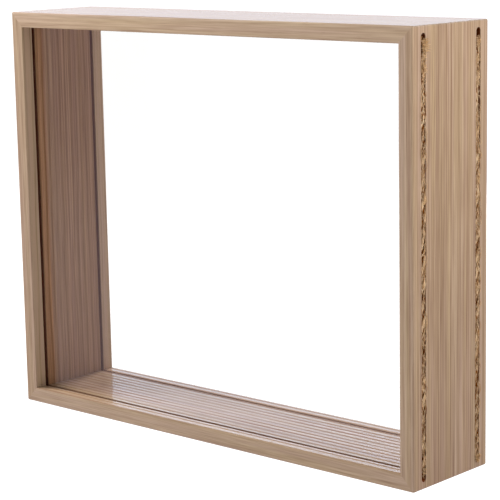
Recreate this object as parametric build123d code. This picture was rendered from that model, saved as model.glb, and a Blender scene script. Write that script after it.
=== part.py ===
"""A double-sided display box for dried flowers, in millimetres.

Four mitred boards make an open case that stands on its long side. Each of the two clear
panes stands in a groove that runs round the inside of the case. A pane goes in from the
right, through a long slot in the right board, and a length of jute twine pressed into the
outer part of the slot keeps it there.

X runs along the case, with the slotted board at +X. The front faces -Y, Z is up, and the
origin is the middle of the footprint.
"""
import os
from math import sqrt

from build123d import *

# The case
case_width = 300.0
case_depth = 65.0
case_height = 240.0
board_thickness = 9.0
outer_rounding = 1.0      # every outer edge is sanded round
rim_chamfer = 0.3         # the edge round the opening, front and rear

# The panes and the grooves they stand in
pane_thickness = 2.0
pane_arris = 0.2          # the ground edge of the glass
groove_inset = 8.8        # front or rear face of the case to the middle of the groove
groove_depth = 4.6
pane_side_play = 0.25     # pane to groove wall, on each side
pane_edge_play = 0.3      # pane edge to the bottom of the groove

# The twine and the slots it closes
twine_diameter = 3.5
twine_side_play = 0.15    # twine to slot wall, on each side
twine_recess = 0.2        # below the outer face of the right board
twine_pane_play = 0.3     # twine to the edge of the pane
twine_cut_short = 4.6     # how much shorter the twine is than its slot
twine_foot_gap = {"front": 3.0, "rear": 0.3}  # open hole left below the twine
twine_end_rounding = 1.2

# The splines hidden in the mitres
spline_thickness = 2.0
spline_width = 7.0        # across the mitre
spline_length = 34.0      # along the mitre, between the two grooves
spline_setback = 5.2      # outer faces of the corner to the middle of the spline
spline_play = 0.1         # spline to its slot, all round

# What follows from these
groove_width = pane_thickness + 2 * pane_side_play
groove_floor = board_thickness - groove_depth
groove_plane = case_depth / 2 - groove_inset
slot_width = twine_diameter + 2 * twine_side_play
slot_radius = slot_width / 2
right_face = case_width / 2
middle = Pos(0, 0, case_height / 2)

pane_left = -case_width / 2 + groove_floor + pane_edge_play
pane_right = right_face - twine_recess - twine_diameter - twine_pane_play
pane_height = case_height - 2 * (groove_floor + pane_edge_play)

# The slot has round ends, so it runs on past the pane until its width lets the pane's
# square corners through.
corner_relief = slot_radius - sqrt(slot_radius**2 - (groove_width / 2) ** 2)
slot_height = pane_height + 2 * (pane_edge_play + corner_relief)
twine_length = slot_height - twine_cut_short

SIDES = {"front": -1, "rear": 1}
CORNERS = {
    "top_left": (-1, 1),
    "top_right": (1, 1),
    "bottom_left": (-1, -1),
    "bottom_right": (1, -1),
}


def corner_point(across, up, inset):
    """A point on the mitre line of one corner, seen from the front, measured from mid-case."""
    return across * (case_width / 2 - inset), up * (case_height / 2 - inset)


def solid_ring():
    """The four boards as one ring, rounded outside and chamfered round the opening."""
    block = Box(case_width, case_depth, case_height)
    block = fillet(block.edges(), outer_rounding)
    opening = Box(case_width - 2 * board_thickness, case_depth, case_height - 2 * board_thickness)
    ring = block - opening
    by_depth = ring.faces().filter_by(Axis.Y).sort_by(Axis.Y)
    rims = by_depth[0].inner_wires()[0].edges() + by_depth[-1].inner_wires()[0].edges()
    return chamfer(rims, rim_chamfer)


def pane_channel(side):
    """The groove for one pane, cut into all four boards."""
    span_x = case_width - 2 * groove_floor
    span_z = case_height - 2 * groove_floor
    return Pos(0, side * groove_plane, 0) * Box(span_x, groove_width, span_z)


def twine_slot(side):
    """The slot through the right board, with round ends, in line with one groove."""
    outline = Plane.YZ * Pos(side * groove_plane, 0) * SlotOverall(slot_height, slot_width, rotation=90)
    start = right_face - board_thickness
    return extrude(Pos(start, 0, 0) * outline, board_thickness, dir=(1, 0, 0))


def spline_block(across, up, play):
    """The tongue of one corner, square to its mitre, grown by play on every side."""
    x, z = corner_point(across, up, spline_setback)
    tongue = Box(
        spline_width + 2 * play,
        spline_length + 2 * play,
        spline_thickness + 2 * play,
    )
    return Pos(x, 0, z) * Rot(0, across * up * 45, 0) * tongue


def case_ring():
    """The ring with its grooves, slots and spline slots, ready to be parted at the mitres."""
    ring = solid_ring()
    for side in SIDES.values():
        ring -= pane_channel(side)
        ring -= twine_slot(side)
    for across, up in CORNERS.values():
        ring -= spline_block(across, up, spline_play)
    return ring


def board(ring, first, last):
    """The stretch of the ring between the mitres of two corners."""
    outline = Polygon(
        corner_point(*first, 0),
        corner_point(*last, 0),
        corner_point(*last, board_thickness),
        corner_point(*first, board_thickness),
        align=None,
    )
    sector = extrude(Plane.XZ * outline, case_depth / 2, both=True)
    return middle * (ring & sector)


def pane(side):
    """A clear pane with ground edges, standing in its groove."""
    width = pane_right - pane_left
    sheet = Box(width, pane_thickness, pane_height)
    sheet = chamfer(sheet.edges(), pane_arris)
    return middle * Pos((pane_left + pane_right) / 2, side * groove_plane, 0) * sheet


def twine(side, foot_gap):
    """The plain round body of the twine that lies in one slot."""
    body = Cylinder(twine_diameter / 2, twine_length)
    body = fillet(body.edges().filter_by(GeomType.CIRCLE), twine_end_rounding)
    x = right_face - twine_recess - twine_diameter / 2
    z = foot_gap + (twine_length - slot_height) / 2
    return middle * Pos(x, side * groove_plane, z) * body


def write(name, solid):
    """One STEP file for one piece."""
    solid.label = name
    export_step(solid, f"parts/{name}.step")


def main():
    os.makedirs("parts", exist_ok=True)
    ring = case_ring()
    write("top_board", board(ring, CORNERS["top_left"], CORNERS["top_right"]))
    write("bottom_board", board(ring, CORNERS["bottom_left"], CORNERS["bottom_right"]))
    write("left_board", board(ring, CORNERS["bottom_left"], CORNERS["top_left"]))
    write("right_board", board(ring, CORNERS["bottom_right"], CORNERS["top_right"]))
    for name, (across, up) in CORNERS.items():
        write(f"{name}_spline", middle * spline_block(across, up, 0))
    for name, side in SIDES.items():
        write(f"{name}_pane", pane(side))
        write(f"{name}_twine", twine(side, twine_foot_gap[name]))
    print(f"pane {pane_right - pane_left:.1f} x {pane_height:.1f} mm")
    print(f"slot {slot_height:.1f} mm, twine {twine_length:.1f} mm long")


main()
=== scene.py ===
"""Looks of a display box for dried flowers: its wood, glass, twine, light and camera.

Lengths are in metres, in the frame of the solids. X runs along the case, with the slotted
board at +X, the front faces -Y, and Z is up.
"""
import math
import random
from typing import NamedTuple

import bmesh
import bpy
from bpy.props import (
    FloatProperty,
    FloatVectorProperty,
    IntProperty,
    PointerProperty,
)
from mathutils import Matrix, Vector, noise


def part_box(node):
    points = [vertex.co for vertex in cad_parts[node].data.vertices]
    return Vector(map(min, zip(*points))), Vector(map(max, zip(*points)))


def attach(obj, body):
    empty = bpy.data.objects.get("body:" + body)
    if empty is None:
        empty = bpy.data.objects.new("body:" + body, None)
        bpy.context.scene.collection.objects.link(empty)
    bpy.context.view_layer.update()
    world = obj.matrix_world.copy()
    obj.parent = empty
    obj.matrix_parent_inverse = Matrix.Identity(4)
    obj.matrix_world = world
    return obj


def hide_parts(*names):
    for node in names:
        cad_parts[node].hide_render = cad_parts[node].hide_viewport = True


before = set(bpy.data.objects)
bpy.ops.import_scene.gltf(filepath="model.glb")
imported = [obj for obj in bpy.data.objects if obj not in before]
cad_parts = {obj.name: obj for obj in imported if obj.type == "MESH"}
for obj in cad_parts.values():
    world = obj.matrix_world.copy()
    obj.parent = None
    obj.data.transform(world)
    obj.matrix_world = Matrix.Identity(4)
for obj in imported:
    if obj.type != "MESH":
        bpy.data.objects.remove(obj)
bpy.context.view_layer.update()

bl_info = {
    "name": "Flower Display Box Looks",
    "version": (1, 0, 0),
    "blender": (4, 5, 0),
    "location": "3D View > Sidebar > Display Box",
    "description": "Finishes the boards, panes and twine of a flower display box and lights it",
    "category": "Object",
}

MM = 0.001


class Board(NamedTuple):
    """How the wood of one board grew, and how much light is painted beyond its grooves."""

    grain: str  # axis that the grain follows
    seed: float  # shifts the noise, so that no two boards are alike
    lean: int  # way in which the rings lean through the board's thickness
    pitch: float  # distance between rings on the wide faces, in mm
    clear: float  # how clear the rings are
    wandering: float  # how far the rings wander
    painted_edge_light: float = 0.0  # painted light: how much paler the wood is beyond the two grooves


class Streak(NamedTuple):
    """One kind of streak along the grain."""

    length: float  # in metres
    width: float  # in metres
    detail: float  # how many finer layers of noise it has
    shift: float  # keeps it apart from the other kinds in the noise


class Hair(NamedTuple):
    """One kind of loose fibre on the twine."""

    radii: tuple  # thinnest and thickest, in mm
    sides: int  # sides of its cross-section
    lengths: tuple  # shortest and longest, in metres
    stand_off: float = 0.0  # how far it bows off the twine, in metres


class Tuft(NamedTuple):
    """A place where fibres curl out of the slot. All in mm, except the share and the sides."""

    height: float  # height of the fibres' roots
    spread: float  # how far up and down the roots lie
    to_front: float  # how far the tips reach to the front
    to_rear: float  # how far the tips reach to the rear
    reach: float  # how far the tips reach up and down
    out: float  # how far the fibres come out of the board
    share: float  # number of fibres, as a share of the setting for tufts
    radii: tuple = (0.05, 0.12)  # of the thinnest and the thickest fibre
    sides: int = 4  # sides of a fibre's cross-section


class Lamp(NamedTuple):
    """A soft square lamp."""

    place: tuple  # in metres
    power: float  # in watts
    colour: tuple = (1.0, 1.0, 1.0)


BOARDS = {
    "top_board": Board("X", seed=3.1, lean=1, pitch=4.4, clear=0.5, wandering=0.6),
    "bottom_board": Board("X", seed=7.217, lean=-1, pitch=4.47, clear=1.7, wandering=0.12),
    "left_board": Board(
        "Z", seed=12.8, lean=1, pitch=4.5, clear=1.1, wandering=0.5, painted_edge_light=0.42
    ),
    "right_board": Board("Z", seed=21.3, lean=-1, pitch=3.65, clear=0.50, wandering=0.35),
}
SPLINE_WOOD = Board("X", seed=33.0, lean=1, pitch=3.6, clear=0.5, wandering=0.5)

STREAKS = {
    "bend": Streak(0.35, 0.030, 1.0, 0.0),
    "waver": Streak(0.07, 0.015, 1.0, 5.0),
    "broad": Streak(0.9, 0.011, 1.0, 11.0),
    "band": Streak(0.4, 0.0015, 2.0, 17.0),
    "fibre": Streak(0.09, 0.0009, 3.0, 23.0),
    "fine": Streak(0.03, 0.00035, 2.0, 29.0),
    "pore": Streak(0.006, 0.00022, 1.0, 31.0),
    "pale_line": Streak(1.5, 0.0020, 0.0, 37.0),
    "warmth": Streak(0.5, 0.006, 1.0, 41.0),
    "straw": Streak(0.16, 0.004, 1.0, 47.0),
    "fleck": Streak(0.022, 0.0012, 2.0, 53.0),
}
# Distances from the middle of the case to where the painted light on a board starts, and to the
# inner side of the strip of painted shade behind its front groove.
PAINTED_LIGHT_FROM = 24.5 * MM
SHADED_STRIP_FROM = 15.0 * MM
# What the colour of the wood is multiplied by where it is warmer or yellower, and by the painted
# warm shade between the grooves and the painted shade of that strip.
WARM = (1.07, 0.94, 0.78)
YELLOW = (1.00, 1.03, 0.86)
PAINTED_WARM_SHADE = (1.0, 0.93, 0.84)
PAINTED_STRIP_SHADE = (1.12, 0.96, 0.90)

# What the colour of each board's wood is multiplied by inside its front and its rear groove,
# or slot on the right: painted shade that darkens the raw wood there, and in the rear grooves of
# the level boards painted light, for the light that the rear pane brings in.
GROOVE_SHADE_AND_LIGHT = {
    "top_board": ((0.95, 0.72, 0.64), (1.7, 1.75, 1.95)),
    "bottom_board": ((0.93, 0.64, 0.50), (1.7, 1.75, 1.95)),
    "left_board": ((0.36, 0.09, 0.03), (0.62, 0.46, 0.36)),
    "right_board": ((0.36, 0.13, 0.04), (0.36, 0.13, 0.04)),
}
SPLINES = ("top_left_spline", "top_right_spline", "bottom_left_spline", "bottom_right_spline")
PANES = ("front_pane", "rear_pane")

# How each twine lies in its slot, from the top down: depth below its upper end, sideways
# lean to the rear, and width as a share of the full twine. All in mm, except the share.
LIES = {
    "front_twine": (
        (0, 0.55, 0.62), (9, 0.50, 0.72), (16, -0.05, 0.98), (24, 0.30, 0.84),
        (40, 0.35, 0.86), (52, 0.30, 0.80), (66, -0.10, 0.92), (84, 0.15, 1.0),
        (96, 0.42, 0.78), (108, 0.10, 0.98), (130, 0.30, 0.84), (150, 0.10, 0.98),
        (162, 0.40, 0.78), (178, 0.00, 1.0), (206, -0.25, 0.88), (228, 0.10, 0.84),
    ),
    "rear_twine": (
        (0, 0.00, 0.86), (6, -0.15, 1.0), (14, -0.20, 0.90), (20, 0.20, 0.82),
        (27, -0.35, 0.80), (40, -0.45, 0.78), (52, -0.20, 0.90), (75, 0.05, 1.0),
        (100, 0.20, 0.92), (125, -0.10, 1.0), (150, 0.20, 0.88), (172, -0.15, 0.92),
        (190, 0.30, 0.84), (205, -0.25, 0.88), (220, 0.25, 0.86), (228, 0.10, 0.92),
    ),
}

TUFTS = {
    "front_twine": (
        Tuft(230.0, 2.6, to_front=2.2, to_rear=5.6, reach=2.0, out=1.3, share=0.8),
        Tuft(220.5, 7.0, to_front=2.7, to_rear=3.5, reach=3.0, out=0.8, share=0.7),
        Tuft(9.5, 2.0, to_front=2.0, to_rear=2.2, reach=2.0, out=0.9, share=0.2),
        Tuft(120.0, 108.0, to_front=2.7, to_rear=3.0, reach=3.5, out=0.35, share=0.7),
    ),
    "rear_twine": (
        Tuft(229.0, 2.0, to_front=3.6, to_rear=1.8, reach=2.5, out=1.0, share=0.4),
        Tuft(214.0, 8.0, to_front=2.4, to_rear=2.2, reach=3.0, out=0.6, share=0.3),
        Tuft(6.0, 1.4, to_front=2.4, to_rear=3.4, reach=2.0, out=1.4, share=0.5),
        Tuft(118.0, 108.0, to_front=2.8, to_rear=2.4, reach=3.5, out=0.35, share=0.7),
    ),
}
THICK_HAIR = Hair(radii=(0.09, 0.18), sides=5, lengths=(0.008, 0.024), stand_off=0.0003)
THIN_HAIR = Hair(radii=(0.04, 0.08), sides=3, lengths=(0.004, 0.014), stand_off=0.0008)
LOOP_HAIR = Hair(radii=(0.05, 0.12), sides=4, lengths=(0.003, 0.012))

LAMPS = {
    "left_lamp": Lamp((-0.70, -0.30, 0.80), 11.2),
    "low_front_lamp": Lamp((-0.30, -1.00, 0.35), 1.25, (0.65, 0.87, 1.0)),
    "far_front_lamp": Lamp((0.10, -1.20, 0.35), 1.0, (0.85, 0.95, 1.0)),
    "high_front_lamp": Lamp((0.35, -1.00, 0.80), 1.0, (1.0, 0.93, 0.88)),
    "right_lamp": Lamp((0.52, 0.00, 0.45), 1.87, (0.96, 1.0, 0.95)),
    "rear_lamp": Lamp((-0.30, 0.90, 0.30), 24.6),
    "right_rear_lamp": Lamp((0.50, 0.90, 0.30), 1.5, (1.0, 0.74, 0.53)),
}


class WoodLook(bpy.types.PropertyGroup):
    """Colours and grain of the boards."""

    pale: FloatVectorProperty(
        name="Pale wood", description="Colour of the palest streaks", subtype="COLOR",
        default=(0.588, 0.418, 0.318),
    )
    middle: FloatVectorProperty(
        name="Middle wood", description="Colour of most of the wood", subtype="COLOR",
        default=(0.450, 0.302, 0.220),
    )
    dark: FloatVectorProperty(
        name="Dark wood", description="Colour of the darkest streaks", subtype="COLOR",
        default=(0.298, 0.180, 0.120),
    )
    edge_pitch: FloatProperty(
        name="Edge pitch", description="Distance between year rings across a board's edge",
        default=0.0036, unit="LENGTH", precision=4,
    )
    lacquer_roughness: FloatProperty(
        name="Lacquer roughness", description="How much the lacquer blurs what it mirrors",
        default=0.14, min=0.0, max=1.0, subtype="FACTOR",
    )
    lacquer_refraction: FloatProperty(
        name="Lacquer refraction", description="Refractive index of the lacquer", default=1.25,
    )


class GlassLook(bpy.types.PropertyGroup):
    """Colour of the panes."""

    tint: FloatVectorProperty(
        name="Tint", description="Colour that the glass lets through", subtype="COLOR",
        default=(0.985, 0.995, 0.990),
    )
    pass_on: FloatVectorProperty(
        name="Soft light", description="Share of soft light that passes each face of a pane",
        subtype="COLOR", default=(0.81, 0.81, 0.81),
    )
    refraction: FloatProperty(
        name="Refraction", description="Refractive index that sets the gloss", default=1.5,
    )
    bend: FloatProperty(
        name="Bend", description="Refractive index that shifts what is behind the pane",
        default=1.02,
    )


class TwineLook(bpy.types.PropertyGroup):
    """Make and colours of the twine."""

    plies: IntProperty(
        name="Plies", description="How many plies are twisted together", default=2, min=2,
    )
    yarns: IntProperty(
        name="Yarns", description="How many yarns make one ply", default=10, min=1,
    )
    yarn_lay: FloatProperty(
        name="Yarn lay", description="Length in which a yarn goes once round its ply",
        default=0.013, unit="LENGTH", precision=4,
    )
    lay_length: FloatProperty(
        name="Lay length", description="Length in which a ply goes once round the twine",
        default=0.0210, unit="LENGTH", precision=4,
    )
    straw: FloatVectorProperty(
        name="Straw", description="Colour of the palest fibres", subtype="COLOR",
        default=(0.930, 0.680, 0.450),
    )
    tan: FloatVectorProperty(
        name="Tan", description="Colour of most of the fibres", subtype="COLOR",
        default=(0.450, 0.215, 0.075),
    )
    # Umber is also the colour of the painted shade deep in the slot and in the gaps between
    # strands.
    umber: FloatVectorProperty(
        name="Umber", description="Colour of the darkest fibres", subtype="COLOR",
        default=(0.230, 0.060, 0.004),
    )
    thick_hairs: IntProperty(
        name="Thick hairs", description="How many loose yarns lie over each twine", default=90,
    )
    thin_hairs: IntProperty(
        name="Thin hairs", description="How many fine fibres stand off each twine", default=200,
    )
    loops: IntProperty(
        name="Loops", description="How many fibres bow over the slot's edges", default=120,
    )
    tuft_hairs: IntProperty(
        name="Tuft hairs", description="How many fibres the largest frayed end has", default=170,
    )


class StageLook(bpy.types.PropertyGroup):
    """Camera and light."""

    camera_place: FloatVectorProperty(
        name="Camera", description="Where the camera stands", subtype="TRANSLATION",
        default=(0.69949, -0.76188, 0.29873),
    )
    camera_turn: FloatVectorProperty(
        name="Camera turn", description="How the camera is turned", subtype="EULER",
        default=(math.radians(79.4546), math.radians(1.0865), math.radians(41.9467)),
    )
    lens: FloatProperty(
        name="Lens", description="Focal length in mm on a 36 mm sensor", default=132.444,
    )
    backdrop: FloatProperty(
        name="Backdrop", description="Brightness of the white room behind the box", default=1.1,
    )
    low_room: FloatVectorProperty(
        name="Low rear room", description="Colour in gloss of the room low behind the box",
        subtype="COLOR", default=(0.81, 0.77, 0.79),
    )
    high_room: FloatVectorProperty(
        name="High rear room", description="Colour in gloss of the room higher up behind",
        subtype="COLOR", default=(1.43, 1.69, 2.12),
    )
    front_room: FloatVectorProperty(
        name="Front room", description="Colour in gloss of the room before the box",
        subtype="COLOR", default=(0.8, 0.8, 0.8),
    )
    floor_seen: FloatProperty(
        name="Floor in view", description="Brightness of the floor in view", default=1.2,
    )
    floor_mirrored: FloatVectorProperty(
        name="Mirrored floor", description="Colour of the floor in gloss",
        subtype="COLOR", default=(0.50, 0.33, 0.37),
    )
    floor_bounce: FloatVectorProperty(
        name="Floor bounce", description="Colour of the soft light that comes up from the floor",
        subtype="COLOR", default=(0.70, 0.70, 0.68),
    )
    lamps: FloatProperty(
        name="Lamps", description="Brightness of all lamps, as a share of their own power",
        default=1.0, min=0.0,
    )
    lamp_size: FloatProperty(
        name="Lamp size", description="Side of each lamp", default=0.30, unit="LENGTH",
    )


class DisplayBoxLook(bpy.types.PropertyGroup):
    """All settings of the display box."""

    wood: PointerProperty(type=WoodLook)
    glass: PointerProperty(type=GlassLook)
    twine: PointerProperty(type=TwineLook)
    stage: PointerProperty(type=StageLook)


class Number:
    """A number that varies over a surface. Arithmetic on it adds Math nodes."""

    def __init__(self, nodes, socket):
        self.nodes = nodes
        self.socket = socket

    def __add__(self, other):
        return self.nodes.maths("ADD", self, other)

    def __sub__(self, other):
        return self.nodes.maths("SUBTRACT", self, other)

    def __rsub__(self, other):
        return self.nodes.maths("SUBTRACT", other, self)

    def __mul__(self, other):
        return self.nodes.maths("MULTIPLY", self, other)

    def __truediv__(self, other):
        return self.nodes.maths("DIVIDE", self, other)

    __radd__ = __add__
    __rmul__ = __mul__


class Nodes:
    """The node tree of a material or of the world."""

    def __init__(self, tree):
        self.tree = tree
        self.tree.nodes.clear()

    def add(self, kind, settings=None, values=None):
        """Adds any node: its settings first, then the values or links of its sockets."""
        node = self.tree.nodes.new("ShaderNode" + kind)
        for name, value in (settings or {}).items():
            if name == "stops":
                self.set_stops(node.color_ramp, value)
            else:
                setattr(node, name, value)
        for name, value in (values or {}).items():
            self.feed(node.inputs[name], value)
        return node

    @staticmethod
    def set_stops(ramp, stops):
        while len(ramp.elements) < len(stops):
            ramp.elements.new(1.0)
        for element, (position, colour) in zip(ramp.elements, stops):
            element.position = position
            element.color = (*colour, 1.0)

    def feed(self, socket, value):
        if isinstance(value, Number):
            value = value.socket
        if isinstance(value, bpy.types.NodeSocket):
            self.tree.links.new(value, socket)
        else:
            socket.default_value = value

    def maths(self, operation, *values):
        node = self.add("Math", {"operation": operation}, dict(enumerate(values)))
        return Number(self, node.outputs[0])

    def clamp(self, value):
        """The value, held between 0 and 1."""
        return Number(self, self.add("Clamp", None, {"Value": value}).outputs[0])

    def vector(self, x, y, z):
        return self.add("CombineXYZ", None, {"X": x, "Y": y, "Z": z}).outputs[0]

    def split(self, vector):
        node = self.add("SeparateXYZ", None, {"Vector": vector})
        return [Number(self, output) for output in node.outputs]

    def noise(self, vector, detail, roughness=0.5):
        """Smooth noise about 0, mostly between -0.3 and 0.3."""
        values = {"Vector": vector, "Scale": 1.0, "Detail": detail, "Roughness": roughness}
        node = self.add("TexNoise", {"noise_dimensions": "3D"}, values)
        return Number(self, node.outputs["Fac"]) - 0.5

    def chance(self, value):
        """A number from 0 to 1 that differs for each whole number."""
        node = self.add("TexWhiteNoise", {"noise_dimensions": "1D"}, {"W": value})
        return Number(self, node.outputs["Value"])

    def ramp(self, value, stops):
        return self.add("ValToRGB", {"stops": stops}, {"Fac": value}).outputs["Color"]

    def mix(self, factor, first, second, blend="MIX"):
        settings = {"data_type": "RGBA", "blend_type": blend}
        return self.add("Mix", settings, {0: factor, 6: first, 7: second}).outputs[2]

    def tint(self, factor, colour, other):
        """The colour multiplied by another one, as far as the factor says."""
        return self.mix(factor, colour, rgba(other), "MULTIPLY")

    def bump(self, height, distance, strength):
        values = {"Height": height, "Distance": distance, "Strength": strength}
        return self.add("Bump", None, values).outputs["Normal"]

    def surface(self, shader):
        self.add("OutputMaterial", None, {"Surface": shader})


def new_material(name):
    """A material and its empty node tree."""
    material = bpy.data.materials.new(name)
    material.use_nodes = True
    return material, Nodes(material.node_tree)


def rgba(colour):
    return (*colour, 1.0)


def grey(brightness):
    return rgba((brightness, brightness, brightness))


class Grain:
    """The marks of one board's wood. Each mark is a number that varies over its surface."""

    def __init__(self, nodes, look, board):
        self.nodes = nodes
        self.seed = board.seed
        x, self.across, z = nodes.split(nodes.add("TexCoord").outputs["Object"])
        self.along, self.through = (x, z) if board.grain == "X" else (z, x)
        from_middle = nodes.maths("ABSOLUTE", self.across)
        # From 0 to 1, whether a point is on a front or rear edge, or beyond the two grooves.
        edge_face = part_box("top_board")[1].y - 0.3 * MM
        self.edge = nodes.clamp((from_middle - edge_face) / (0.2 * MM))
        self.beyond = nodes.clamp((from_middle - PAINTED_LIGHT_FROM) / MM)
        self.set_rings(look, board)
        self.fibre = self.streaks("fibre")
        self.fine = self.streaks("fine")
        self.pore = nodes.clamp((self.streaks("pore") - 0.17) * 9.0)
        self.pale_line = nodes.clamp((self.streaks("pale_line") - 0.13) * 7.0)

    def streaks(self, kind):
        """Noise that is drawn out along the grain."""
        streak = STREAKS[kind]
        place = self.nodes.vector(
            self.along / streak.length + (self.seed + streak.shift),
            self.across / streak.width + streak.shift,
            self.through / streak.width + self.seed,
        )
        return self.nodes.noise(place, streak.detail)

    def set_rings(self, look, board):
        """The dark lines of the rings, with thinner lines between them. Both fade on edges."""
        wander = self.streaks("bend") * 2.6 + self.streaks("waver") * 1.6
        rings = self.across / (board.pitch * MM)
        rings = rings + self.through / (look.edge_pitch * board.lean)
        rings = rings + wander * board.wandering + board.seed
        late, self.own = ring_lines(self.nodes, rings, 0.28)
        thin, _ = ring_lines(self.nodes, rings * 1.83 + wander * 0.3, 0.38)
        self.late = late * (1.0 - self.edge * 0.85)
        self.thin = thin * (1.0 - self.edge * 0.7)


def ring_lines(nodes, rings, half_width):
    """The dark line of each ring, from 0 to 1, and a number of the ring's own."""
    ring = nodes.maths("FLOOR", rings)
    own = nodes.chance(ring)
    line = nodes.clamp(1.0 - nodes.maths("ABSOLUTE", rings - ring - 0.5) / half_width)
    return line * (own * 0.45 + 0.55), own


def wood_shade(grain, board):
    """The shade of the wood, from 0 for the darkest to 1 for the palest.

    On the edges the bands are fainter and the flecks stronger. The edges of the level boards
    are paler, and those of the upright ones a little darker.
    """
    edge_shade = 0.13 if board.grain == "X" else -0.03
    shade = 0.57 + grain.streaks("broad") * 0.25
    bands = grain.streaks("band") * 0.50 + grain.fibre * 1.15
    shade = shade + bands * (1.0 - grain.edge * 0.35)
    shade = shade + grain.fine * 0.90
    shade = shade + grain.streaks("fleck") * (grain.edge * 0.30 + 0.30)
    shade = shade + (grain.own - 0.5) * 0.12
    shade = shade + grain.pale_line * 0.24
    shade = shade - grain.late * (0.46 * board.clear) - grain.thin * 0.17
    shade = shade + grain.edge * edge_shade
    # Painted light: the wood beyond the grooves is paler, away from the edges.
    return shade + grain.beyond * (1.0 - grain.edge) * board.painted_edge_light


def wood_colour(nodes, look, board, grain):
    """The colour of the wood outside the grooves."""
    stops = [(0.12, look.dark), (0.50, look.middle), (0.88, look.pale)]
    colour = nodes.ramp(wood_shade(grain, board), stops)
    warmth = nodes.clamp(grain.streaks("warmth") * 1.8 + 0.5)
    colour = nodes.tint(warmth * 0.25, colour, WARM)
    straw = nodes.clamp(grain.streaks("straw") * 2.4 + 0.5)
    colour = nodes.tint(straw * 0.8, colour, YELLOW)
    # Painted warm shade between the grooves, and painted shade in a strip behind the front
    # groove.
    if board.painted_edge_light:
        warm_shade_mask = (1.0 - grain.beyond) * (1.0 - grain.edge)
        colour = nodes.tint(warm_shade_mask, colour, PAINTED_WARM_SHADE)
        strip_shade_mask = warm_shade_mask * nodes.clamp((-SHADED_STRIP_FROM - grain.across) / (2 * MM))
        colour = nodes.tint(strip_shade_mask, colour, PAINTED_STRIP_SHADE)
    return nodes.mix(grain.pore * 0.35, colour, rgba(look.dark))


def groove_shade_and_light(nodes, node, across):
    """Painted shade and light that the colour of the wood is multiplied by in the grooves before
    and behind.
    """
    front, rear = map(rgba, GROOVE_SHADE_AND_LIGHT[node])
    rearward = nodes.clamp(across / (20 * MM) + 0.5)
    return nodes.mix(rearward, front, rear)


def wood_material(node, look, board, lacquered):
    """Straight-grained pale wood, whose rings show as fine lines along every face."""
    material, nodes = new_material(node + "_wood")
    grain = Grain(nodes, look, board)
    colour = wood_colour(nodes, look, board, grain)
    height = grain.fibre * 0.5 + grain.fine * 0.5 - grain.late * 0.8 - grain.pore
    values = {
        "Roughness": 0.36 + grain.late * (0.4 * board.clear) + grain.pore * 0.2,
        "Normal": nodes.bump(height, 0.04 * MM, 0.6),
        "IOR": look.lacquer_refraction,
    }
    if lacquered:
        groove = in_groove(nodes, node, grain.across, grain.through)
        # Painted shade in the grooves and slots, and painted light in the rear grooves of the
        # level boards.
        colour = nodes.mix(groove, colour, groove_shade_and_light(nodes, node, grain.across), "MULTIPLY")
        # Open late wood and pores take the lacquer in, and the grooves have none.
        coat = 1.0 - grain.late * (1.15 * board.clear) - grain.pore * 0.5 - groove
        values["Coat Weight"] = nodes.clamp(coat)
        values["Coat Roughness"] = look.lacquer_roughness
        values["Coat IOR"] = look.lacquer_refraction
    values["Base Color"] = colour
    shader = nodes.add("BsdfPrincipled", None, values)
    nodes.surface(shader.outputs["BSDF"])
    return material


def in_groove(nodes, node, across, through):
    """From 0 to 1, whether a point lies in the grooves or slots of a board; it rises over half a
    millimetre of depth, so that the painted shade there deepens inward.

    The limits are a little wider and deeper than the grooves and slots are.
    """
    groove_half = 1.45 * MM
    groove_depth = 4.8 * MM
    slot_half = 2.1 * MM
    sharp = 0.1 * MM
    soft = 0.5 * MM
    low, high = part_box(node)
    pane_low, pane_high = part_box("rear_pane")
    axis = 0 if node in ("left_board", "right_board") else 2
    outward = 1 if node in ("top_board", "right_board") else -1
    below_outer = ((high if outward > 0 else low)[axis] - through) * outward
    middle = (pane_low.y + pane_high.y) / 2
    aside = nodes.maths("ABSOLUTE", nodes.maths("ABSOLUTE", across) - middle)
    if node == "right_board":
        within = nodes.clamp((below_outer - sharp) / soft)
        return within * nodes.clamp((slot_half - aside) / sharp)
    below_inner = high[axis] - low[axis] - below_outer
    shade_from = 0.4 * MM if node == "left_board" else 0.0
    within = nodes.clamp((below_inner - shade_from) / soft)
    within = within * nodes.clamp((groove_depth - below_inner) / sharp)
    return within * nodes.clamp((groove_half - aside) / sharp)


def glass_material(look):
    """Thin clear glass. Its gloss is in its coat, so that it hardly shifts what is behind it.

    Lamp light and soft room light pass straight through, less what the glass throws back.
    """
    material, nodes = new_material("clear_glass")
    values = {
        "Base Color": rgba(look.tint),
        "Roughness": 0.0,
        "IOR": look.bend,
        "Transmission Weight": 1.0,
        "Coat Weight": 1.0,
        "Coat Roughness": 0.0,
        "Coat IOR": look.refraction,
    }
    glass = nodes.add("BsdfPrincipled", None, values)
    clear = nodes.add("BsdfTransparent", None, {"Color": rgba(look.pass_on)})
    path = nodes.add("LightPath")
    soft = nodes.maths("MAXIMUM", path.outputs["Is Shadow Ray"], path.outputs["Is Diffuse Ray"])
    either = nodes.add("MixShader", None, {0: soft, 1: glass.outputs[0], 2: clear.outputs[0]})
    nodes.surface(either.outputs[0])
    return material


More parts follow.
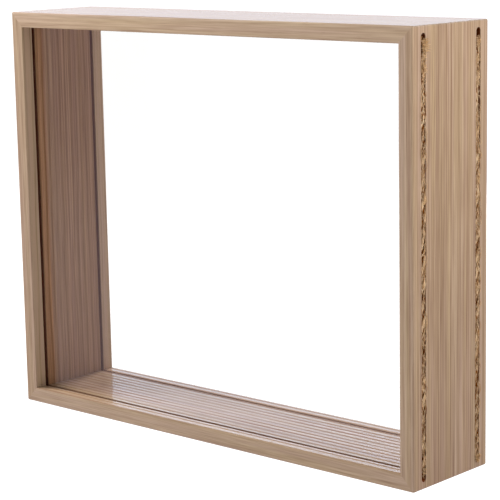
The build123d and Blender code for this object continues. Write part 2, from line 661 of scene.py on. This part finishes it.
def jute_material(look):
    """Raw jute: matt fibres along each strand, some pale and some brown, with painted shade in
    the slot.
    """
    material, nodes = new_material("jute_fibre")
    around, along, _ = nodes.split(nodes.add("UVMap").outputs["UV"])
    out, across, up = nodes.split(nodes.add("TexCoord").outputs["Object"])
    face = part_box("right_board")[1].x
    own = nodes.chance(nodes.maths("FLOOR", around))
    streak = nodes.noise(nodes.vector(around * 11.0, along / (5 * MM), 0.0), 3.0, 0.6)
    patch = nodes.noise(nodes.vector(around * 2.0, along / (9 * MM), 4.0), 1.0)
    # Painted shade: the fibres darken with depth below the board's face, down to umber deep in
    # the slot.
    shade_depth = 1.1 * MM
    out_of_painted_shade = nodes.clamp((out - (face - shade_depth)) / shade_depth)
    shade = out_of_painted_shade * 1.3 + own * 0.95 + streak * 1.5 + patch - 0.82
    colour = nodes.ramp(shade, [(0.10, look.umber), (0.40, look.tan), (0.80, look.straw)])
    # Painted shade: short dark gaps between the strands, which lie slantwise with the twist.
    gap_width, gap_length, gap_slant = 1.0 * MM, 4.5 * MM, 0.16
    slant = nodes.vector((across + up * gap_slant) / gap_width, up / gap_length, 9.0)
    gap_shade = nodes.clamp((nodes.noise(slant, 1.0) - 0.07) * 8.0)
    colour = nodes.mix(gap_shade * 0.85, colour, rgba(look.umber))
    # Fibres that stand off the board are seen against the pale wood: they are yellower, and
    # darker with painted shade for the shadows among them.
    proud = nodes.clamp((out - (face + 0.1 * MM)) / (0.4 * MM))
    yellower_and_shaded = (0.76, 0.64, 0.44)
    colour = nodes.tint(proud * 0.7, colour, yellower_and_shaded)
    values = {
        "Base Color": colour,
        "Roughness": 0.9,
        "Specular IOR Level": 0.05,
        "Normal": nodes.bump(streak, 0.1 * MM, 0.7),
    }
    shader = nodes.add("BsdfPrincipled", None, values)
    nodes.surface(shader.outputs["BSDF"])
    return material


class Strands:
    """Tubes drawn out along paths, gathered in one mesh, each with its own number in U."""

    def __init__(self):
        self.gathered = bmesh.new()
        self.single = bpy.data.meshes.new("strand")
        self.count = 0

    def draw(self, path, widths, sides, lobe=1.0, spin=0.0):
        """Draws a closed circle of that many sides along the path.

        Every second vertex is drawn in by lobe, and the circle turns by spin per metre.
        """
        bm = bmesh.new()
        turn = bm.verts.layers.float.new("turn")
        metres = bm.verts.layers.float.new("metres")
        circle = bmesh.ops.create_circle(bm, segments=sides, radius=1.0)["verts"]
        for number, vert in enumerate(circle):
            vert[turn] = number / sides
            if number % 2:
                vert.co *= lobe
        rim = bm.edges[:]
        places = self.places(path, widths, spin)
        bmesh.ops.transform(bm, matrix=places[0], verts=circle)
        bmesh.ops.edgeloop_fill(bm, edges=rim)
        run = 0.0
        for before, after in zip(places, places[1:]):
            made = bmesh.ops.extrude_edge_only(bm, edges=rim)["geom"]
            verts = [item for item in made if isinstance(item, bmesh.types.BMVert)]
            rim = [item for item in made if isinstance(item, bmesh.types.BMEdge)]
            bmesh.ops.transform(bm, matrix=after @ before.inverted(), verts=verts)
            run += (after.translation - before.translation).length
            for vert in verts:
                vert[metres] = run
        bmesh.ops.edgeloop_fill(bm, edges=rim)
        self.unroll(bm, turn, metres)
        bmesh.ops.recalc_face_normals(bm, faces=bm.faces)
        bm.to_mesh(self.single)
        bm.free()
        self.gathered.from_mesh(self.single)

    def unroll(self, bm, turn, metres):
        """Maps the way round a strand to U, after the strand's number, and its length to V.

        The way round takes up less than one unit of U, so that the number can be read back.
        """
        self.count += 1
        uv = bm.loops.layers.uv.new("UVMap")
        for face in bm.faces:
            face.smooth = True
            turns = [loop.vert[turn] for loop in face.loops]
            wraps = max(turns) - min(turns) > 0.5
            for loop, part in zip(face.loops, turns):
                whole = self.count + 0.9 * (part + (wraps and part < 0.5))
                loop[uv].uv = (whole, loop.vert[metres])

    @staticmethod
    def places(path, widths, spin):
        """The matrix that puts a unit circle square to the path, at each of its points."""
        places = []
        run = 0.0
        for number, point in enumerate(path):
            before = path[max(number - 1, 0)]
            after = path[min(number + 1, len(path) - 1)]
            run += (point - before).length
            facing = Vector((0, 0, 1)).rotation_difference(after - before).to_matrix().to_4x4()
            width = widths[number]
            size = Matrix.Diagonal((width, width, width, 1.0))
            turn = Matrix.Rotation(spin * run, 4, "Z")
            places.append(Matrix.Translation(point) @ facing @ turn @ size)
        return places

    def piece(self, name, material):
        """Makes the gathered strands an object at the origin."""
        mesh = bpy.data.meshes.new(name)
        self.gathered.to_mesh(mesh)
        self.gathered.free()
        bpy.data.meshes.remove(self.single)
        mesh.materials.append(material)
        piece = bpy.data.objects.new(name, mesh)
        bpy.context.scene.collection.objects.link(piece)
        return piece


def between(table, depth):
    """Values at that depth, eased between the rows of a table that starts with a depth."""
    for upper, lower in zip(table, table[1:]):
        if depth <= lower[0]:
            share = max(0.0, (depth - upper[0]) / (lower[0] - upper[0]))
            share = share * share * (3 - 2 * share)
            return [a + (b - a) * share for a, b in zip(upper[1:], lower[1:])]
    return list(table[-1][1:])


class Slot:
    """The slot that one twine lies in, and how it lies there."""

    side_room = 1.87 * MM  # a little less than half the slot's width
    forward = 0.25 * MM  # how far the twine's middle lies out of the middle of its solid
    proud_limit = 0.35 * MM  # how far a yarn may stand off the board's face
    core_above = 0.6 * MM  # how far the twine's core reaches above the yarns

    def __init__(self, node, lay_length):
        low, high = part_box(node)
        self.middle = (low + high) / 2
        self.low = low.z
        self.high = high.z
        self.half = (high.x - low.x) / 2
        self.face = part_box("right_board")[1].x
        self.lies = LIES[node]
        self.lay_length = lay_length

    def lie(self, height):
        """Lean in metres and width share at a height."""
        lean, width = between(self.lies, (self.high - height) / MM)
        own = self.middle.y * 100
        lean += 0.55 * noise.noise(Vector((height / 0.007, own, 0.0)))
        width += 0.24 * noise.noise(Vector((height / 0.004, own, 5.0)))
        return lean * MM, width

    def hold(self, point, radius):
        """Keeps a point between the slot's sides, and hardly proud of the board's face."""
        room = self.side_room - radius
        point.y = min(max(point.y, self.middle.y - room), self.middle.y + room)
        point.x = min(point.x, self.face + self.proud_limit - radius)
        return point

    def keep_clear(self, point, radius):
        """Moves a point off the board's wood: into the slot, or proud of the face."""
        aside = point.y - self.middle.y
        room = self.side_room - radius
        if abs(aside) > room:
            if point.x > self.face - 0.2 * MM:
                point.x = max(point.x, self.face + radius + 0.05 * MM)
            else:
                point.y = self.middle.y + math.copysign(room, aside)
        return point


def yarn_path(slot, look, ply, yarn, seed):
    """Path and widths of one yarn, which winds round its ply as that winds round the twine."""
    steps = 360
    path, widths = [], []
    for step in range(steps + 1):
        share = step / steps
        height = slot.low + (slot.high - slot.low) * share
        point, radius = yarn_place(slot, look, ply, yarn, seed, height)
        taper = min(1.0, 0.45 + 60 * min(share, 1 - share))
        path.append(slot.hold(point, radius))
        widths.append(radius * taper)
    return path, widths


def yarn_place(slot, look, ply, yarn, seed, height):
    """Where a yarn runs at a height, and its radius there.

    Each yarn sways in its own way, each ply slips and swells, and the slot presses the twine
    toward a square.
    """
    own = ply * look.yarns + yarn

    def sway(length, shift):
        return noise.noise(Vector((height / length, seed + shift, own * 3.7)))

    lean, width = slot.lie(height)
    girth = slot.half * width
    slip = noise.noise(Vector((height / 0.012, seed + 17, ply * 2.3)))
    swell = noise.noise(Vector((height / 0.011, seed + 29, ply * 5.1)))
    turn = math.tau * (height / slot.lay_length + ply / look.plies) + slip * 0.9 + seed
    inner = math.tau * (yarn / look.yarns - height / look.yarn_lay) + sway(0.010, 3) * 1.6
    reach = girth * (0.56 + 0.16 * sway(0.012, 0))
    around = girth * (0.36 + 0.16 * sway(0.005, 7) + 0.20 * swell)
    radius = girth * (0.185 + 0.08 * sway(0.006, 11))
    out = reach * math.cos(turn) + around * math.cos(inner)
    aside = reach * math.sin(turn) + around * math.sin(inner)
    far = max(math.hypot(out, aside), 1e-6)
    squareness, sideways = 0.7, 1.08
    square = (max(abs(out), abs(aside)) / far) ** -squareness
    point = Vector((
        slot.middle.x + slot.forward + out * square,
        slot.middle.y + lean + aside * square * sideways,
        height,
    ))
    return point, radius


def core_path(slot, seed):
    """Path and widths of the twine's core, which fills the slot behind the yarns."""
    steps = 120
    path, widths = [], []
    for step in range(steps + 1):
        height = slot.low + (slot.high + slot.core_above - slot.low) * step / steps
        sway = noise.noise(Vector((height / 0.009, seed, 2.0)))
        path.append(Vector((slot.middle.x - 0.60 * MM, slot.middle.y + 0.25 * MM * sway, height)))
        widths.append((1.25 + 0.25 * sway) * MM * (0.5 if step in (0, steps) else 1.0))
    return path, widths


def hair_path(slot, draw, radius, hair):
    """Path of a loose fibre that runs with the twist on the side in view."""
    length = draw.uniform(*hair.lengths)
    start = draw.uniform(slot.low, slot.high - length)
    facing = draw.gauss(0.0, 0.75)
    pull = draw.uniform(0.35, 1.15)
    lift = draw.uniform(0.0, hair.stand_off)
    # The upper end of one fibre in three also stands off.
    off = draw.choice((0.0, 0.0, 1.0)) * draw.uniform(0.0, hair.stand_off)
    farthest = slot.face + 1.6 * MM
    path = []
    steps = 7
    for step in range(steps + 1):
        share = step / steps
        height = start + length * share
        lean, width = slot.lie(height)
        turn = facing + math.tau * pull * length * (share - 0.5) / slot.lay_length
        reach = slot.half * width * 1.06 + lift * math.sin(math.pi * share) + off * share ** 2
        point = Vector((
            slot.middle.x + slot.forward + reach * math.cos(turn),
            slot.middle.y + lean + reach * math.sin(turn),
            height,
        ))
        point.x = min(point.x, farthest)
        path.append(slot.keep_clear(point, radius))
    return path


def loop_path(slot, draw, radius, hair):
    """Path of a fibre that bows out of the slot over one of its edges and back in."""
    length = draw.uniform(*hair.lengths)
    start = draw.uniform(slot.low, slot.high - length)
    side = draw.choice((-1, 1))
    over = draw.uniform(0.4, 1.5) * MM
    path = []
    steps = 8
    for step in range(steps + 1):
        share = step / steps
        bow = math.sin(math.pi * share)
        point = Vector((
            slot.face - 0.6 * MM + (0.7 * MM + over * 0.4) * bow,
            slot.middle.y + side * (1.1 * MM + over * bow),
            start + length * share,
        ))
        path.append(slot.keep_clear(point, radius))
    return path


def tuft_path(slot, draw, radius, tuft):
    """Path of a fibre that comes out of the slot at a frayed place and curls over the face."""
    root = Vector((
        slot.face - draw.uniform(0.4, 1.4) * MM,
        slot.middle.y + draw.uniform(-1.2, 1.2) * MM,
        (tuft.height + draw.uniform(-1.0, 1.0) * tuft.spread) * MM,
    ))
    angle = draw.uniform(0, math.tau)
    far = math.sqrt(draw.random())
    sideways = far * math.cos(angle)
    sideways *= tuft.to_rear if sideways > 0 else tuft.to_front
    tip = Vector((
        slot.face + draw.uniform(0.1, 0.8) * tuft.out * MM,
        slot.middle.y + sideways * MM,
        root.z + far * math.sin(angle) * tuft.reach * MM,
    ))
    bow = (root + tip) / 2
    bow.x = slot.face + draw.uniform(0.5, 1.0) * tuft.out * MM
    bow.y = slot.middle.y + (bow.y - slot.middle.y) * draw.uniform(0.2, 1.6)
    bow.z += draw.uniform(-0.6, 0.6) * tuft.reach * MM
    path = []
    steps = 8
    for step in range(steps + 1):
        share = step / steps
        point = root.lerp(bow, share).lerp(bow.lerp(tip, share), share)
        path.append(slot.keep_clear(point, radius))
    return path


def twist_plies(strands, slot, look, seed):
    """Draws the yarns of all plies and the core behind them."""
    own_turn = 0.009  # length in which a yarn turns once about itself
    for ply in range(look.plies):
        for yarn in range(look.yarns):
            path, widths = yarn_path(slot, look, ply, yarn, seed)
            strands.draw(path, widths, sides=7, lobe=0.86, spin=math.tau / own_turn)
    strands.draw(*core_path(slot, seed), sides=8)


def lay_hairs(strands, slot, draw, count, kind, path_of):
    """Draws that many loose fibres, each with its own thickness and path."""
    for _ in range(count):
        radius = draw.uniform(*kind.radii) * MM
        path = path_of(slot, draw, radius, kind)
        strands.draw(path, taper_ends(len(path), radius), sides=kind.sides)


def taper_ends(count, radius):
    """Widths that are full along a fibre and fine at both ends."""
    return [radius * (0.35 if number in (0, count - 1) else 1.0) for number in range(count)]


def make_twine(node, look, seed):
    """Twists the plies of one twine and lays its loose fibres over them."""
    slot = Slot(node, look.lay_length)
    draw = random.Random(seed)
    strands = Strands()
    twist_plies(strands, slot, look, seed)
    lay_hairs(strands, slot, draw, look.thick_hairs, THICK_HAIR, hair_path)
    lay_hairs(strands, slot, draw, look.thin_hairs, THIN_HAIR, hair_path)
    lay_hairs(strands, slot, draw, look.loops, LOOP_HAIR, loop_path)
    for tuft in TUFTS[node]:
        lay_hairs(strands, slot, draw, round(look.tuft_hairs * tuft.share), tuft, tuft_path)
    return strands


class DISPLAYBOX_OT_finish_boards(bpy.types.Operator):
    """Give the four boards and the splines in their corners the grain and lacquer of wood"""

    bl_idname = "display_box.finish_boards"
    bl_label = "Finish Boards"

    def execute(self, context):
        look = context.scene.display_box.wood
        for name, board in BOARDS.items():
            paint(name, wood_material(name, look, board, True))
        material = wood_material("spline", look, SPLINE_WOOD, False)
        for name in SPLINES:
            paint(name, material)
        return {"FINISHED"}


class DISPLAYBOX_OT_finish_panes(bpy.types.Operator):
    """Give the two sliding panes clear glass"""

    bl_idname = "display_box.finish_panes"
    bl_label = "Finish Panes"

    def execute(self, context):
        material = glass_material(context.scene.display_box.glass)
        for name in PANES:
            paint(name, material)
        return {"FINISHED"}


class DISPLAYBOX_OT_twist_twines(bpy.types.Operator):
    """Twist the two jute twines that close the slots, with their loose fibres and frayed ends"""

    bl_idname = "display_box.twist_twines"
    bl_label = "Twist Twines"

    def execute(self, context):
        look = context.scene.display_box.twine
        material = jute_material(look)
        for seed, node in enumerate(("front_twine", "rear_twine"), 5):
            piece = make_twine(node, look, seed).piece(node + "_strands", material)
            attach(piece, node)
            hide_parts(node)
        return {"FINISHED"}


class DISPLAYBOX_OT_set_stage(bpy.types.Operator):
    """Put the box on a white floor in soft light, with the camera before it"""

    bl_idname = "display_box.set_stage"
    bl_label = "Set Stage"

    def execute(self, context):
        look = context.scene.display_box.stage
        set_camera(look)
        set_room(look)
        set_floor(look)
        for name, lamp in LAMPS.items():
            set_lamp(name, lamp, look)
        context.scene.view_settings.view_transform = "Standard"
        # Light that the boards mirror passes four faces of glass on its way.
        context.scene.cycles.glossy_bounces = 12
        return {"FINISHED"}


def paint(node, material):
    """Puts a material in every slot of a node, whose mesh is left as it is."""
    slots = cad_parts[node].material_slots
    if not slots:
        raise RuntimeError(f"{node} has no material slot")
    for slot in slots:
        slot.material = material


def set_camera(look):
    camera = bpy.data.cameras.new("camera")
    camera.lens = look.lens
    camera.sensor_width = 36.0
    camera.clip_start = 0.05
    place = bpy.data.objects.new("camera", camera)
    place.location = look.camera_place
    place.rotation_euler = look.camera_turn
    bpy.context.scene.collection.objects.link(place)
    bpy.context.scene.camera = place


def by_ray(nodes, seen, mirrored, soft):
    """Colour by what a ray is for: the view, also through glass, gloss, or soft light."""
    path = nodes.add("LightPath").outputs
    colour = nodes.mix(nodes.clamp(path["Glossy Depth"]), grey(seen), mirrored)
    return nodes.mix(nodes.clamp(path["Diffuse Depth"]), colour, soft)


def set_room(look):
    """A white room. In gloss it is brightest high behind the box, and it doesn't light matt
    surfaces, which is left to the lamps and the floor."""
    world = bpy.data.worlds.new("room")
    world.use_nodes = True
    world.cycles.sampling_method = "NONE"
    bpy.context.scene.world = world
    nodes = Nodes(world.node_tree)
    x, y, z = nodes.split(nodes.add("TexCoord").outputs["Generated"])
    # From 0 to 1, how far a direction points behind the box as the camera sees it, and up.
    behind = nodes.clamp((y * 0.73 - x * 0.66 - 0.2) / 0.5)
    high = nodes.clamp((z - 0.10) / 0.12)
    rear = nodes.mix(high, rgba(look.low_room), rgba(look.high_room))
    mirrored = nodes.mix(behind, rgba(look.front_room), rear)
    colour = by_ray(nodes, look.backdrop, mirrored, grey(0.0))
    room = nodes.add("Background", None, {"Strength": 1.0, "Color": colour})
    nodes.add("OutputWorld", None, {"Surface": room.outputs[0]})


def set_floor(look):
    """A pale floor that fades into the white room, with only a faint shadow on it."""
    bm = bmesh.new()
    bmesh.ops.create_grid(bm, x_segments=1, y_segments=1, size=4.0)
    mesh = bpy.data.meshes.new("floor")
    bm.to_mesh(mesh)
    bm.free()
    material, nodes = new_material("white_floor")
    material.cycles.emission_sampling = "NONE"
    mirrored, bounce = rgba(look.floor_mirrored), rgba(look.floor_bounce)
    colour = by_ray(nodes, look.floor_seen, mirrored, bounce)
    glow = nodes.add("Emission", None, {"Strength": 1.0, "Color": colour})
    matt = nodes.add("BsdfDiffuse", None, {"Color": grey(0.08)})
    both = nodes.add("AddShader", None, {0: glow.outputs[0], 1: matt.outputs[0]})
    nodes.surface(both.outputs[0])
    mesh.materials.append(material)
    floor = bpy.data.objects.new("floor", mesh)
    bpy.context.scene.collection.objects.link(floor)


def set_lamp(name, lamp, look):
    """Points a lamp at the middle of the box. It lights the box but isn't seen itself."""
    light = bpy.data.lights.new(name, "AREA")
    light.energy = lamp.power * look.lamps
    light.color = lamp.colour
    light.size = look.lamp_size
    holder = bpy.data.objects.new(name, light)
    holder.location = lamp.place
    middle = Vector((0.0, 0.0, 0.12))
    toward = middle - Vector(lamp.place)
    holder.rotation_euler = toward.to_track_quat("-Z", "Y").to_euler()
    holder.visible_camera = False
    holder.visible_glossy = False
    holder.visible_transmission = False
    bpy.context.scene.collection.objects.link(holder)


class DISPLAYBOX_PT_looks(bpy.types.Panel):
    """The steps that dress the display box"""

    bl_idname = "DISPLAYBOX_PT_looks"
    bl_label = "Display Box"
    bl_space_type = "VIEW_3D"
    bl_region_type = "UI"
    bl_category = "Display Box"

    def draw(self, context):
        looks = context.scene.display_box
        for operator, group in STEPS:
            self.layout.operator(operator.bl_idname)
            settings = getattr(looks, group)
            for name in settings.__annotations__:
                self.layout.prop(settings, name)


STEPS = (
    (DISPLAYBOX_OT_set_stage, "stage"),
    (DISPLAYBOX_OT_finish_boards, "wood"),
    (DISPLAYBOX_OT_finish_panes, "glass"),
    (DISPLAYBOX_OT_twist_twines, "twine"),
)
CLASSES = (
    WoodLook,
    GlassLook,
    TwineLook,
    StageLook,
    DisplayBoxLook,
    *(operator for operator, _ in STEPS),
    DISPLAYBOX_PT_looks,
)


def register():
    for item in CLASSES:
        bpy.utils.register_class(item)
    bpy.types.Scene.display_box = PointerProperty(type=DisplayBoxLook)


def unregister():
    del bpy.types.Scene.display_box
    for item in reversed(CLASSES):
        bpy.utils.unregister_class(item)


def main():
    register()
    bpy.ops.display_box.set_stage()
    bpy.ops.display_box.finish_boards()
    bpy.ops.display_box.finish_panes()
    bpy.ops.display_box.twist_twines()


if __name__ == "__main__":
    main()
